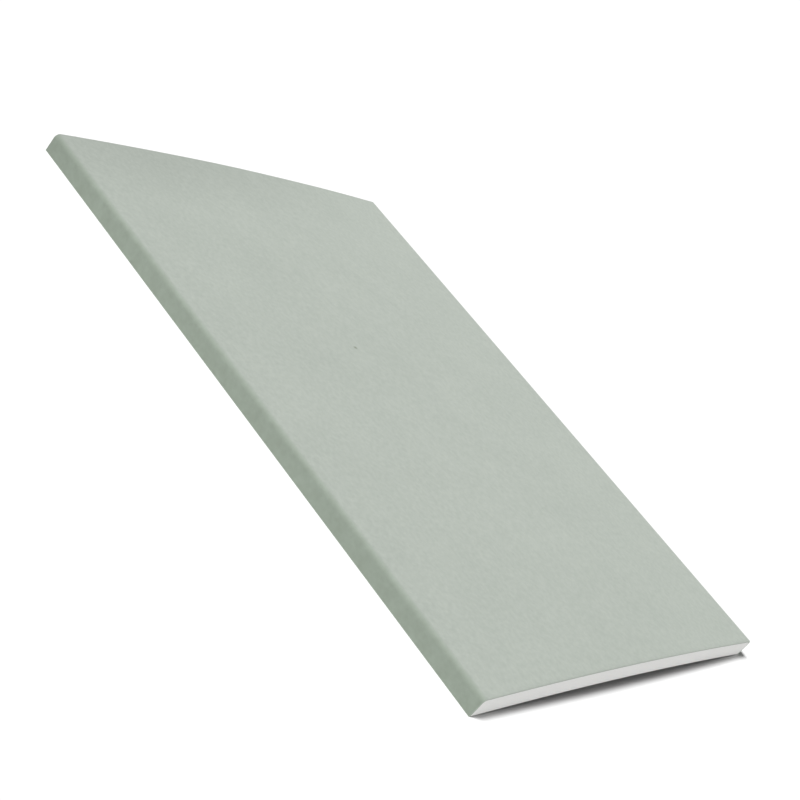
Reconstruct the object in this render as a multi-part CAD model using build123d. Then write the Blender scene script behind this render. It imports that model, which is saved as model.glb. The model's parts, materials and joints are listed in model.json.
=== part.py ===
"""Soffit board: a sawn length of cellular PVC board with a coloured skin.

The skin covers the face and wraps both long edges; the back and the sawn ends show the white core.
The board is slightly cupped across its width, so it lies on its two lower long edges.
X runs along the length, Y across the width and Z is up. The origin is on the floor, under the middle.
All lengths are in millimetres.
"""
import os

from build123d import *

# Board
board_length = 300.0
board_width = 225.0
board_thickness = 9.0
cup_rise = 2.5

# Skin and the eased upper edges
skin_thickness = 1.0
arris_radius = 2.5

# The circle that the cupped underside follows
cup_radius = ((board_width / 2) ** 2 + cup_rise ** 2) / (2 * cup_rise)


def underside_height(offset):
    """Height of the cupped underside at an offset from the middle of the width."""
    return (cup_radius ** 2 - offset ** 2) ** 0.5 - (cup_radius - cup_rise)


def section(inset):
    """Section across the board, drawn in by the inset from its face and its two long edges."""
    half_width = board_width / 2 - inset
    height = board_thickness - inset
    edge_bottom = underside_height(half_width)
    edge_top = edge_bottom + height
    with BuildSketch(Plane.YZ) as sketch:
        with BuildLine():
            ThreePointArc((-half_width, edge_bottom), (0, cup_rise), (half_width, edge_bottom))
            Line((half_width, edge_bottom), (half_width, edge_top))
            ThreePointArc((half_width, edge_top), (0, cup_rise + height), (-half_width, edge_top))
            Line((-half_width, edge_top), (-half_width, edge_bottom))
        make_face()
        # The eased edges of core and skin share their centres, so the skin keeps its thickness there.
        if arris_radius > inset:
            fillet(sketch.vertices().group_by(Axis.Y)[-1], arris_radius - inset)
    return sketch.sketch


def along_board(profile):
    """Carries a section along the whole length, half to each side of the origin."""
    return extrude(profile, amount=board_length / 2, dir=(1, 0, 0), both=True)


def foam_core():
    """White cellular core: the board less its skin, bare at the back and at both sawn ends."""
    return along_board(section(skin_thickness))


def colour_skin():
    """Coloured skin: a shallow channel over the face and both long edges, open at the back."""
    return along_board(section(0) - section(skin_thickness))


os.makedirs("parts", exist_ok=True)
for name, make in {"foam_core": foam_core, "colour_skin": colour_skin}.items():
    export_step(make(), f"parts/{name}.step")
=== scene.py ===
# %% [markdown]
# # A soffit board
# Soffit board closes the underside of a roof's overhang. This is a short sawn length of it: a white core of
# foamed PVC, with a sage-green skin over the face and both long edges. It lies face up on a white floor,
# slightly cupped. The frame is the measured model. It gives the sizes, and everything made here is placed in
# it, in metres.

# %% Load the frame
import json
import math

import bpy
import numpy as np
from mathutils import Matrix, Vector


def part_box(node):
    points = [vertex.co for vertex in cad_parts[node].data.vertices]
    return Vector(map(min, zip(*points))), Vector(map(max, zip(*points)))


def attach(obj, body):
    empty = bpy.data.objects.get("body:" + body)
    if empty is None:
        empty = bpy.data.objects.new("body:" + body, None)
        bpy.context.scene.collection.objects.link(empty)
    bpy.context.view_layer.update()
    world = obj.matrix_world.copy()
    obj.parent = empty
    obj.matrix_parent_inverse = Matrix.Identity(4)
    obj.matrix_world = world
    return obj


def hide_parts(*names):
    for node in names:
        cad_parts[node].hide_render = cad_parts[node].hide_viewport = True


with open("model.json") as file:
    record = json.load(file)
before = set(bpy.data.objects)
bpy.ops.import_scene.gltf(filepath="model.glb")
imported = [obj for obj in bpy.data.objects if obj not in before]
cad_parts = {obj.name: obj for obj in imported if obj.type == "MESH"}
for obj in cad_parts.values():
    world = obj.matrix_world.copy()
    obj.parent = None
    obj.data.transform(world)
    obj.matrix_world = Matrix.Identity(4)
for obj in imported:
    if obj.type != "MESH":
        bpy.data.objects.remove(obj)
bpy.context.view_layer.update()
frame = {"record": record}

# %% [markdown]
# ## Sizes
# The sizes could be typed in again, but then they could drift from the model, so they are read from it. The
# two nodes give the length, the width and the skin's thickness. The crown of the hollow back and the middle
# of the sawn end are stated as fixing places in the record, so the cup and the board's thickness come from
# those. Only the radius of the eased upper edges, the arrises, is written again.

# %% Sizes read from the frame
mm = 0.001
skin_low, skin_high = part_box("colour_skin")
core_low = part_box("foam_core")[0]
places = {mount["name"]: mount["pos_m"] for mount in frame["record"]["mounts"]}

board_length = skin_high.x - skin_low.x
board_width = skin_high.y - skin_low.y
skin_thickness = core_low.y - skin_low.y
cup_rise = places["back_face"][2]
board_thickness = 2 * (places["near_end"][2] - cup_rise)
arris_radius = 2.5 * mm
cup_radius = ((board_width / 2) ** 2 + cup_rise ** 2) / (2 * cup_rise)
print(f"board {board_length / mm:.1f} x {board_width / mm:.1f} x {board_thickness / mm:.1f} mm, "
      f"cup {cup_rise / mm:.1f} mm, skin {skin_thickness / mm:.2f} mm")

# %% [markdown]
# ## The section
# A board is drawn through a die, so one section makes nearly all of it. The same function draws the outside
# of the skin and, drawn in by the skin's thickness, the outside of the core. Both have the same number of
# points, so the two pieces meet point to point and no gap opens between them at the sawn ends.

# %% Section of the board
edge_steps = 14
arris_steps = 12
face_steps = 186


def underside(y):
    """Height of the hollow back at y: the circle through both lower edges whose crown is cup_rise higher."""
    return np.sqrt(cup_radius ** 2 - np.square(y)) - (cup_radius - cup_rise)


def outline(inset):
    """Points (y, z) from the lower left edge over the face to the lower right edge, drawn in by inset.

    Straight up the long edge, a quarter turn round the arris, then along the cup's circle to the crown.
    The right half is the left half mirrored in the middle of the board.
    """
    half_width = board_width / 2 - inset
    height = board_thickness - inset
    radius = arris_radius - inset
    turn_y = half_width - radius
    circle_drop = cup_radius - cup_rise - height
    turn_z = math.sqrt((cup_radius - radius) ** 2 - turn_y ** 2) - circle_drop
    tilt = math.asin(turn_y / (cup_radius - radius))
    edge_z = np.linspace(underside(half_width), turn_z, edge_steps, endpoint=False)
    turn = np.linspace(math.pi, math.pi / 2 + tilt, arris_steps, endpoint=False)
    sweep = np.linspace(-tilt, 0, face_steps)
    left_y = [np.full(edge_steps, -half_width), radius * np.cos(turn) - turn_y, cup_radius * np.sin(sweep)]
    left_z = [edge_z, radius * np.sin(turn) + turn_z, cup_radius * np.cos(sweep) - circle_drop]
    left = np.stack([np.concatenate(left_y), np.concatenate(left_z)], axis=1)
    right = left[-2::-1] * (-1, 1)
    return np.vstack([left, right])


skin_outside = outline(0)
core_outside = outline(skin_thickness)
print(len(skin_outside), "points across the board, crown at", round(skin_outside[:, 1].max() / mm, 3), "mm")

# %% [markdown]
# ## Meshes from arrays
# Blender could sweep a curve for a board like this. Here each piece is worked out as whole arrays of points
# instead, so that later steps can press marks into it, and the faces are index arrays over them. One helper
# turns the arrays into an object. Shading is smooth, except across edges sharper than the given angle, such
# as a saw cut.

# %% From arrays to an object
crease = math.radians(35)


def grid_quads(number):
    """Quads between neighbouring points of a grid of point numbers."""
    corners = [number[:-1, :-1], number[1:, :-1], number[1:, 1:], number[:-1, 1:]]
    return np.stack(corners, axis=-1).reshape(-1, 4)


def make_piece(name, points, quads):
    """A mesh object at the origin from an array of points and an array of quads."""
    mesh = bpy.data.meshes.new(name)
    mesh.from_pydata(points.tolist(), [], quads.tolist())
    mesh.shade_smooth()
    mesh.set_sharp_from_angle(angle=crease)
    mesh.validate()
    piece = bpy.data.objects.new(name, mesh)
    bpy.context.collection.objects.link(piece)
    print(name, len(points), "points", len(quads), "quads")
    return piece


# %% [markdown]
# ## The coloured skin
# The skin is a shallow channel over the core. A Solidify modifier could give it its thickness, but its inside
# has to lie exactly on the core, so its section is drawn as a closed ring: over the outside, back along the
# inside. The ring is carried along the length, with a slow unevenness of a few hundredths of a millimetre on
# the face, as a drawn sheet has. The saw rounds the skin's outer edge a little and unevenly, so the last ring
# at each end is drawn in. Smooth shading would carry that slope on to the next ring, as streaks on the face,
# so a guard ring lies close behind the worn edge.

# %% Coloured skin
rng = np.random.default_rng(seed=11)
skin_stations = 31
worn_width = 0.25 * mm
worn_shares = (0.08, 0.30)
worn_run = 3
wave_count = 7
wave_height = 0.012 * mm
wave_lengths = (45 * mm, 140 * mm)
wave_fade = 4 * arris_radius


def unevenness(x, y):
    """Slow waves on the face: a sum of sine waves with seeded directions and lengths.

    They fade out towards the arrises, over the distance wave_fade.
    """
    heading = rng.uniform(0, math.pi, wave_count)
    length = rng.uniform(*wave_lengths, wave_count)
    phase = rng.uniform(0, 2 * math.pi, wave_count)
    travel = x[..., None] * np.cos(heading) + y[..., None] * np.sin(heading)
    waves = np.sin(2 * math.pi * travel / length + phase).sum(axis=-1)
    fade = np.clip((board_width / 2 - arris_radius - np.abs(y)) / wave_fade, 0, 1)
    return wave_height * waves * fade


def worn(outside, inside):
    """Outline of the sawn edge: each outer point moved inwards by an uneven share of the thickness.

    The shares are random, each the mean of a short run of draws, so that one nick covers a few points.
    """
    draws = rng.uniform(*worn_shares, len(outside) + worn_run - 1)
    shares = np.convolve(draws, np.full(worn_run, 1 / worn_run), mode="valid")
    return outside + (inside - outside) * shares[:, None]


def make_skin():
    """Carries the skin's ring along the length and closes both sawn ends, from the outside to the inside."""
    count = len(skin_outside)
    end_x = board_length / 2
    worn_x = end_x - worn_width
    guard_x = worn_x - worn_width
    middle_x = np.linspace(-guard_x, guard_x, skin_stations)
    x = np.concatenate([[-end_x, -worn_x], middle_x, [worn_x, end_x]])
    outer = np.repeat(skin_outside[None], len(x), axis=0)
    outer[0] = worn(skin_outside, core_outside)
    outer[-1] = worn(skin_outside, core_outside)
    outer[..., 1] += unevenness(*np.meshgrid(x, skin_outside[:, 0], indexing="ij"))
    inner = np.repeat(core_outside[None, ::-1], len(x), axis=0)
    ring = np.concatenate([outer, inner], axis=1)
    along = np.repeat(x[:, None], 2 * count, axis=1)
    points = np.concatenate([along[..., None], ring], axis=-1).reshape(-1, 3)
    number = np.arange(len(points)).reshape(len(x), 2 * count)
    sides = grid_quads(np.concatenate([number, number[:, :1]], axis=1))
    far_end = grid_quads(np.stack([number[0, :count], number[0, :count - 1:-1]]))[:, ::-1]
    near_end = grid_quads(np.stack([number[-1, :count], number[-1, :count - 1:-1]]))
    return make_piece("colour_skin_surface", points, np.concatenate([sides, near_end, far_end]))


skin = make_skin()

# %% [markdown]
# ## The foam core
# Only the core's two sawn ends and its back can be seen. The saw leaves shallow arcs on the ends, one for
# each turn of its blade. A bump in the material could show them, but the mesh is also used by itself, so they
# are real relief. Each end is a grid of points, columns across the board and rows up its thickness, pressed
# in along those arcs. The back gets the fine lines that the die leaves along the whole length. A band joins
# the borders of the two ends.

# %% Foam core
blade_radius = 95 * mm
blade_height = 60 * mm
mark_pitch = 2.4 * mm
mark_depth = 0.035 * mm
mark_fade = 0.5 * mm
sway_turns = (11.3, 4.7)
sway_shares = (0.35, 0.20)
swell_turns = 7.9
swell_shares = (0.6, 0.4)
die_line_depth = 0.02 * mm


def saw_marks(y, z):
    """Depth of the saw's marks: a wave that repeats at each turn of the blade, along arcs of its radius.

    Two slower waves sway the marks to and fro and a third swells them, because no saw is fed quite evenly.
    """
    turns = (y - np.sqrt(blade_radius ** 2 - np.square(z - blade_height))) / mark_pitch
    sway = sum(share * np.sin(2 * math.pi * turns / slow) for share, slow in zip(sway_shares, sway_turns))
    wave = 0.5 - 0.5 * np.cos(2 * math.pi * (turns + sway))
    swell = swell_shares[0] + swell_shares[1] * np.sin(2 * math.pi * turns / swell_turns)
    return mark_depth * wave * swell


def make_core():
    """Two end grids, pressed in along the saw's marks, and the band that joins their borders.

    The marks fade out towards the border of each end, so that the core stays level with the skin round it.
    """
    top = core_outside[edge_steps:len(core_outside) - edge_steps]
    share = np.linspace(0, 1, edge_steps + 1)
    y = np.repeat(top[:, :1], len(share), axis=1)
    bottom = underside(top[:, 0])
    bottom[1:-1] += die_line_depth * rng.uniform(0, 1, len(bottom) - 2)
    z = bottom[:, None] + (top[:, 1] - bottom)[:, None] * share
    from_edges = board_width / 2 - skin_thickness - np.abs(y)
    from_faces = np.minimum(z - bottom[:, None], top[:, 1:] - z)
    depth = saw_marks(y, z) * np.clip(np.minimum(from_edges, from_faces) / mark_fade, 0, 1)
    near = np.stack([board_length / 2 - depth, y, z], axis=-1)
    far = np.stack([depth - board_length / 2, y, z], axis=-1)
    points = np.concatenate([near.reshape(-1, 3), far.reshape(-1, 3)])
    number = np.arange(len(points)).reshape(2, *y.shape)
    ends = np.concatenate([grid_quads(number[0]), grid_quads(number[1])[:, ::-1]])
    bottom_row, right_side = number[:, :-1, 0], number[:, -1, :-1]
    top_row, left_side = number[:, :0:-1, -1], number[:, 0, :0:-1]
    border = np.concatenate([bottom_row, right_side, top_row, left_side, bottom_row[:, :1]], axis=1)
    return make_piece("foam_core_surface", points, np.concatenate([ends, grid_quads(border)]))


core = make_core()

# %% [markdown]
# ## Shared finish: grain and mottle
# Both plastics have a fine grain and a slower unevenness of tone. Each material could have noise of its own,
# but they differ only in scale and strength, so one node group serves both. It takes positions on the piece
# and two scales, and gives a tone from 0 to 1 and a height for the bump.

# %% Node helper
def add_node(tree, kind, values=(), **settings):
    """Adds a node, sets its own settings, then the values of its sockets by name or number."""
    made = tree.nodes.new(kind)
    for name, value in settings.items():
        setattr(made, name, value)
    for socket, value in dict(values).items():
        made.inputs[socket].default_value = value
    return made


# %% Grain and mottle
grain_noise = {"Detail": 2.0, "Roughness": 0.6}
mottle_noise = {"Detail": 3.0, "Roughness": 0.55}
tone_spread = {"From Min": 0.3, "From Max": 0.7}


def grain_group():
    """Node group: fine noise for the grain and slow noise for the mottle, blended by a given share."""
    group = bpy.data.node_groups.new("grain_and_mottle", "ShaderNodeTree")
    sockets = group.interface
    sockets.new_socket("Vector", in_out="INPUT", socket_type="NodeSocketVector")
    sockets.new_socket("Grain Scale", in_out="INPUT", socket_type="NodeSocketFloat")
    sockets.new_socket("Mottle Scale", in_out="INPUT", socket_type="NodeSocketFloat")
    sockets.new_socket("Mottle Share", in_out="INPUT", socket_type="NodeSocketFloat")
    sockets.new_socket("Tone", in_out="OUTPUT", socket_type="NodeSocketFloat")
    sockets.new_socket("Height", in_out="OUTPUT", socket_type="NodeSocketFloat")
    given = add_node(group, "NodeGroupInput")
    result = add_node(group, "NodeGroupOutput")
    grain = add_node(group, "ShaderNodeTexNoise", grain_noise)
    mottle = add_node(group, "ShaderNodeTexNoise", mottle_noise)
    blend = add_node(group, "ShaderNodeMix", data_type="FLOAT")
    spread = add_node(group, "ShaderNodeMapRange", tone_spread)
    link = group.links.new
    link(given.outputs["Vector"], grain.inputs["Vector"])
    link(given.outputs["Vector"], mottle.inputs["Vector"])
    link(given.outputs["Grain Scale"], grain.inputs["Scale"])
    link(given.outputs["Mottle Scale"], mottle.inputs["Scale"])
    link(given.outputs["Mottle Share"], blend.inputs["Factor"])
    link(grain.outputs["Fac"], blend.inputs["A"])
    link(mottle.outputs["Fac"], blend.inputs["B"])
    link(blend.outputs["Result"], spread.inputs["Value"])
    link(spread.outputs["Result"], result.inputs["Tone"])
    link(grain.outputs["Fac"], result.inputs["Height"])
    return group


grain_and_mottle = grain_group()
print("group", grain_and_mottle.name, [item.name for item in grain_and_mottle.interface.items_tree])

# %% [markdown]
# ## The skin's finish
# The skin is a matt sage green. On the real board it has a very fine embossed grain, hardly seen at arm's
# length. The long edges are a little blotchier than the face, which is random tone, and greener, which is
# painted: it stands in for the paler sheen that the face shows at a low angle. A narrow rim along each saw
# cut is a shade darker: painted shade, where the worn edge turns away from the light. There is one dark speck
# on the face, and a faint darker area at the far end, which is a painted soft shadow. A painted picture could
# hold all that. Masks worked out from the position on the board need no picture, and each mark stays where it
# belongs.

# %% Masks by position
def spot_mask(tree, position, place, size, soft_start):
    """Mask that falls from 1 to 0 in an ellipse on the face: place is its middle, size its half lengths.

    It is 1 up to the share soft_start of the way out, and 0 at the rim.
    """
    from_middle = {"Location": (*place, 0), "Scale": (*size, 1)}
    to_spot = add_node(tree, "ShaderNodeMapping", from_middle, vector_type="TEXTURE")
    reach = add_node(tree, "ShaderNodeVectorMath", operation="LENGTH")
    inwards = {"From Min": 1.0, "From Max": soft_start}
    fall = add_node(tree, "ShaderNodeMapRange", inwards, interpolation_type="SMOOTHSTEP")
    tree.links.new(position, to_spot.inputs["Vector"])
    tree.links.new(to_spot.outputs["Vector"], reach.inputs[0])
    tree.links.new(reach.outputs["Value"], fall.inputs["Value"])
    return fall.outputs["Result"]


def border_mask(tree, position, axis, half_size, width):
    """Mask that rises from 0 to 1 over the last width before both borders, half_size from the middle."""
    parts = add_node(tree, "ShaderNodeSeparateXYZ")
    aside = add_node(tree, "ShaderNodeMath", operation="ABSOLUTE")
    outwards = {"From Min": half_size - width, "From Max": half_size}
    rise = add_node(tree, "ShaderNodeMapRange", outwards, interpolation_type="SMOOTHSTEP")
    tree.links.new(position, parts.inputs["Vector"])
    tree.links.new(parts.outputs[axis], aside.inputs[0])
    tree.links.new(aside.outputs["Value"], rise.inputs["Value"])
    return rise.outputs["Result"]


# %% Colours, grain and surface
def mix_colours(tree, factor, first, second, blend="MIX"):
    """Colour that goes from first to second, or to their product, with the factor.

    The factor and both colours are sockets or plain values.
    """
    mix = add_node(tree, "ShaderNodeMix", data_type="RGBA", blend_type=blend)
    colours = [item for item in mix.inputs if item.type == "RGBA"]
    for socket, value in zip([mix.inputs["Factor"], *colours], (factor, first, second)):
        if isinstance(value, bpy.types.NodeSocket):
            tree.links.new(value, socket)
        else:
            socket.default_value = value
    return next(item for item in mix.outputs if item.type == "RGBA")


def place_grain(tree, position, grain_scale, mottle_scale, mottle_share):
    """Puts the shared group into a material with its own scales, in waves to the metre."""
    scales = {"Grain Scale": grain_scale, "Mottle Scale": mottle_scale, "Mottle Share": mottle_share}
    grain = add_node(tree, "ShaderNodeGroup", scales, node_tree=grain_and_mottle)
    tree.links.new(position, grain.inputs["Vector"])
    return grain


def finish_surface(tree, colour, grain, rough_range, gloss, bump_strength, bump_depth):
    """Feeds colour, roughness by the grain's tone and the grain's bump to the material's own shader."""
    shader = tree.nodes["Principled BSDF"]
    shader.inputs["Specular IOR Level"].default_value = gloss
    rough = add_node(tree, "ShaderNodeMapRange", {"To Min": rough_range[0], "To Max": rough_range[1]})
    bump = add_node(tree, "ShaderNodeBump", {"Strength": bump_strength, "Distance": bump_depth})
    tree.links.new(colour, shader.inputs["Base Color"])
    tree.links.new(grain.outputs["Tone"], rough.inputs["Value"])
    tree.links.new(rough.outputs["Result"], shader.inputs["Roughness"])
    tree.links.new(grain.outputs["Height"], bump.inputs["Height"])
    tree.links.new(bump.outputs["Normal"], shader.inputs["Normal"])


# %% Sage skin
face_dark, face_light = (0.396, 0.436, 0.391, 1), (0.466, 0.506, 0.457, 1)
# Painted: the long edges are made greener than the face, in place of the paler sheen the face shows at a low
# angle.
edge_dark_painted_greener, edge_light_painted_greener = (0.388, 0.450, 0.372, 1), (0.460, 0.534, 0.450, 1)
face_grain = (480, 38, 0.30)
edge_blotch = (420, 160, 0.55)
# Painted shade: a darker rim along each saw cut, where the worn edge turns away from the light.
painted_rim_width = 2.0 * mm
painted_rim_shade = (0.965, 0.965, 0.965, 1)
# Painted soft shadow: a faint darker area on the face at the far end.
painted_shadow_place = (-board_length / 2, -60 * mm)
painted_shadow_size = (46 * mm, 155 * mm)
painted_shadow_soft = 0.0
painted_shadow_colour = (0.885, 0.885, 0.885, 1)
speck_place = (-26.4 * mm, -22.8 * mm)
speck_size = (1.3 * mm, 1.7 * mm)
speck_soft = 0.1
speck_colour = (0.25, 0.28, 0.22, 1)
skin_rough = (0.60, 0.68)
skin_gloss = 0.25
skin_bump = (0.15, 0.03 * mm)


def sage_skin():
    """Matt sage green, grain and a speck; painted: greener long edges, shade at the saw cuts, a soft shadow.
    """
    material = bpy.data.materials.new("sage_skin")
    material.use_nodes = True
    tree = material.node_tree
    position = add_node(tree, "ShaderNodeTexCoord").outputs["Object"]
    grain = place_grain(tree, position, *face_grain)
    blotch = place_grain(tree, position, *edge_blotch)
    face = mix_colours(tree, grain.outputs["Tone"], face_dark, face_light)
    edge = mix_colours(tree, blotch.outputs["Tone"], edge_dark_painted_greener, edge_light_painted_greener)
    painted_edge_mask = border_mask(tree, position, "Y", board_width / 2, arris_radius)
    painted_rim_mask = border_mask(tree, position, "X", board_length / 2, painted_rim_width)
    painted_shadow_mask = spot_mask(tree, position, painted_shadow_place, painted_shadow_size, painted_shadow_soft)
    speck = spot_mask(tree, position, speck_place, speck_size, speck_soft)
    # Painted greener tone on the long edges, in place of the face's sheen.
    colour = mix_colours(tree, painted_edge_mask, face, edge)
    # Painted shade along the saw cuts.
    colour = mix_colours(tree, painted_rim_mask, colour, painted_rim_shade, "MULTIPLY")
    # Painted soft shadow at the far end.
    colour = mix_colours(tree, painted_shadow_mask, colour, painted_shadow_colour, "MULTIPLY")
    colour = mix_colours(tree, speck, colour, speck_colour)
    finish_surface(tree, colour, grain, skin_rough, skin_gloss, *skin_bump)
    return material


skin.data.materials.append(sage_skin())
print("skin finish", skin.data.materials[0].name, len(skin.data.materials[0].node_tree.nodes), "nodes")

# %% [markdown]
# ## The core's finish
# Foamed PVC is white and dull. A saw cut opens its fine cells, which show as a grain of about half a
# millimetre, and the foam is a little denser in layers along the board's face. A Wave texture could draw
# layers, but too evenly. Noise that is drawn out along the board is used instead: it changes quickly in
# height and slowly in the other two directions.

# %% White foam
foam_dark, foam_light = (0.765, 0.765, 0.745, 1), (0.845, 0.845, 0.828, 1)
layer_dark, layer_light = (0.79, 0.79, 0.77, 1), (0.83, 0.83, 0.815, 1)
foam_cells = (1900, 240, 0.4)
layer_stretch = (60, 60, 900)
layer_noise = {"Scale": 1.0, "Detail": 2.0}
cell_share = 0.5
foam_rough = (0.74, 0.86)
foam_gloss = 0.3
foam_bump = (0.35, 0.06 * mm)


def white_foam():
    """Dull white with opened cells as grain and faint layers along the face."""
    material = bpy.data.materials.new("white_foam")
    material.use_nodes = True
    tree = material.node_tree
    position = add_node(tree, "ShaderNodeTexCoord").outputs["Object"]
    cells = place_grain(tree, position, *foam_cells)
    stretch = add_node(tree, "ShaderNodeMapping", {"Scale": layer_stretch})
    layers = add_node(tree, "ShaderNodeTexNoise", layer_noise)
    tree.links.new(position, stretch.inputs["Vector"])
    tree.links.new(stretch.outputs["Vector"], layers.inputs["Vector"])
    layer_colour = mix_colours(tree, layers.outputs["Fac"], layer_dark, layer_light)
    cell_colour = mix_colours(tree, cells.outputs["Tone"], foam_dark, foam_light)
    colour = mix_colours(tree, cell_share, layer_colour, cell_colour)
    finish_surface(tree, colour, cells, foam_rough, foam_gloss, *foam_bump)
    return material


core.data.materials.append(white_foam())
print("core finish", core.data.materials[0].name, len(core.data.materials[0].node_tree.nodes), "nodes")

# %% [markdown]
# ## Into the frame
# Both pieces ride on the one fixed body and take the place of the plain solids from the frame. Each keeps its
# own material slot, so that another finish can be put on either piece later.

# %% Ride and replace
for piece, node in ((skin, "colour_skin"), (core, "foam_core")):
    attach(piece, "root")
    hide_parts(node)
    print(piece.name, "replaces", node)

# %% [markdown]
# ## Floor and background
# The photograph's background is plain white, so the floor and the world look white to the eye and in
# reflections. Stronger lamps could make them white, but would bleach the board too, so the light that they
# throw on the board is set apart from their look. The floor throws about half and the room a little, because
# the sides of the board would otherwise be as light as its face.

# %% White to the eye
def seen_or_thrown(tree, seen, thrown):
    """Mixes two shaders: one for the eye and reflections, one for the light that reaches other surfaces."""
    rays = add_node(tree, "ShaderNodeLightPath")
    eye_or_gloss = add_node(tree, "ShaderNodeMath", operation="MAXIMUM")
    or_glass = add_node(tree, "ShaderNodeMath", operation="MAXIMUM")
    choose = add_node(tree, "ShaderNodeMixShader")
    tree.links.new(rays.outputs["Is Camera Ray"], eye_or_gloss.inputs[0])
    tree.links.new(rays.outputs["Is Glossy Ray"], eye_or_gloss.inputs[1])
    tree.links.new(eye_or_gloss.outputs["Value"], or_glass.inputs[0])
    tree.links.new(rays.outputs["Is Transmission Ray"], or_glass.inputs[1])
    tree.links.new(or_glass.outputs["Value"], choose.inputs[0])
    tree.links.new(thrown.outputs[0], choose.inputs[1])
    tree.links.new(seen.outputs[0], choose.inputs[2])
    return choose.outputs[0]


# %% Floor
floor_reach = 3.0
floor_white = (0.85, 0.85, 0.85, 1)
floor_thrown = (0.50, 0.50, 0.50, 1)


def make_floor():
    """One large level square under the board."""
    corner = np.array([(-1, -1, 0), (1, -1, 0), (1, 1, 0), (-1, 1, 0)]) * floor_reach
    made = make_piece("floor", corner, np.array([(0, 1, 2, 3)]))
    material = bpy.data.materials.new("white_floor")
    material.use_nodes = True
    tree = material.node_tree
    tree.nodes.clear()
    seen = add_node(tree, "ShaderNodeBsdfDiffuse", {"Color": floor_white})
    thrown = add_node(tree, "ShaderNodeBsdfDiffuse", {"Color": floor_thrown})
    surface = add_node(tree, "ShaderNodeOutputMaterial")
    tree.links.new(seen_or_thrown(tree, seen, thrown), surface.inputs["Surface"])
    made.data.materials.append(material)
    return made


floor = make_floor()

# %% World
room_white = (1, 1, 1, 1)
room_seen = 1.0
room_light = 0.12


def make_world():
    """White to the eye, and a little light from all round for the shadows."""
    world = bpy.data.worlds.new("studio")
    world.use_nodes = True
    tree = world.node_tree
    tree.nodes.clear()
    seen = add_node(tree, "ShaderNodeBackground", {"Color": room_white, "Strength": room_seen})
    thrown = add_node(tree, "ShaderNodeBackground", {"Color": room_white, "Strength": room_light})
    surface = add_node(tree, "ShaderNodeOutputWorld")
    tree.links.new(seen_or_thrown(tree, seen, thrown), surface.inputs["Surface"])
    return world


bpy.context.scene.world = make_world()
print("world", bpy.context.scene.world.name, "looks", room_seen, "and throws", room_light)

# %% [markdown]
# ## Lamps
# The board is in soft light. Area lamps could give it, but a sun lamp lights the whole board alike, and its
# level is a plain number: 1 is the light in which a colour shows as it is written, on a surface that faces
# the lamp. Most of the light comes from a lamp as wide as the sky. A second lamp stands high above the right
# long edge: it lights the face and leaves the left arris and edge in shade, as in the photograph. A weak lamp
# lifts the sawn near end. The floor has its own lamp, which gives the short dark shadow along that end. Light
# linking keeps each lamp to its own receivers.

# %% Lamp helpers
def towards(azimuth, elevation):
    """Unit vector to a place in the room: azimuth 0 is the -Y side, 90 the +X side."""
    turn, lift = math.radians(azimuth), math.radians(elevation)
    return Vector((math.sin(turn) * math.cos(lift), -math.cos(turn) * math.cos(lift), math.sin(lift)))


def add_lamp(name, place, level, width, receivers):
    """Distant lamp in the direction of place, as wide as the given angle, that lights only the receivers."""
    light = bpy.data.lights.new(name, "SUN")
    light.energy = level * math.pi
    light.angle = math.radians(width)
    lamp = bpy.data.objects.new(name, light)
    lamp.rotation_euler = place.to_track_quat("Z", "Y").to_euler()
    lamp.visible_glossy = False
    lit = bpy.data.collections.new(name + "_receivers")
    for receiver in receivers:
        lit.objects.link(receiver)
    lamp.light_linking.receiver_collection = lit
    bpy.context.collection.objects.link(lamp)
    print(name, "level", round(level, 2), "from", [round(value, 2) for value in place])


# %% Lamps on the board
# Each has its place, its level and its width in degrees.
sky = (towards(0, 90), 0.615, 180)
key = (towards(180, 70), 0.33, 60)
end_light = (towards(80, 12), 0.12, 40)
add_lamp("sky", *sky, [skin, core])
add_lamp("key", *key, [skin, core])
add_lamp("end_light", *end_light, [skin, core])

# %% Lamp on the floor
# What stands shadow_height high throws its shadow shadow_step away.
shadow_step = Vector((2.5, 6.0, 0))
shadow_height = 9.0
floor_level = 1.10
floor_lamp_width = 16
floor_lamp_place = (Vector((0, 0, shadow_height)) - shadow_step).normalized()
add_lamp("floor_light", floor_lamp_place, floor_level / floor_lamp_place.z, floor_lamp_width, [floor])

# %% [markdown]
# ## Camera
# The camera could be placed by eye, but it was fitted to the photograph's outlines. It looks down on the
# board at a low angle with a long lens, and it is turned about its own axis, so that the board runs from the
# upper left to the lower right of the picture.

# %% Camera
view_azimuth = 27.364
view_elevation = 22.748
view_roll = math.radians(39.779)
view_target = Vector((2.49, -15.96, 9.0)) * mm
view_distance = 701.07 * mm
view_lens = 74.725
view_sensor = 36


def make_camera():
    """Camera on the line from the target towards the viewer, turned by the roll about that line."""
    back = towards(view_azimuth, view_elevation)
    level = towards(view_azimuth + 90, 0)
    upright = back.cross(level)
    right = level * math.cos(view_roll) + upright * math.sin(view_roll)
    turned = Matrix((right, back.cross(right), back)).transposed().to_4x4()
    data = bpy.data.cameras.new("camera")
    data.sensor_width = view_sensor
    data.lens = view_lens
    camera = bpy.data.objects.new("camera", data)
    camera.matrix_world = Matrix.Translation(view_target + back * view_distance) @ turned
    bpy.context.collection.objects.link(camera)
    return camera


bpy.context.scene.camera = make_camera()
bpy.context.scene.view_settings.view_transform = "Standard"
print("camera at", [round(value, 3) for value in bpy.context.scene.camera.matrix_world.translation])
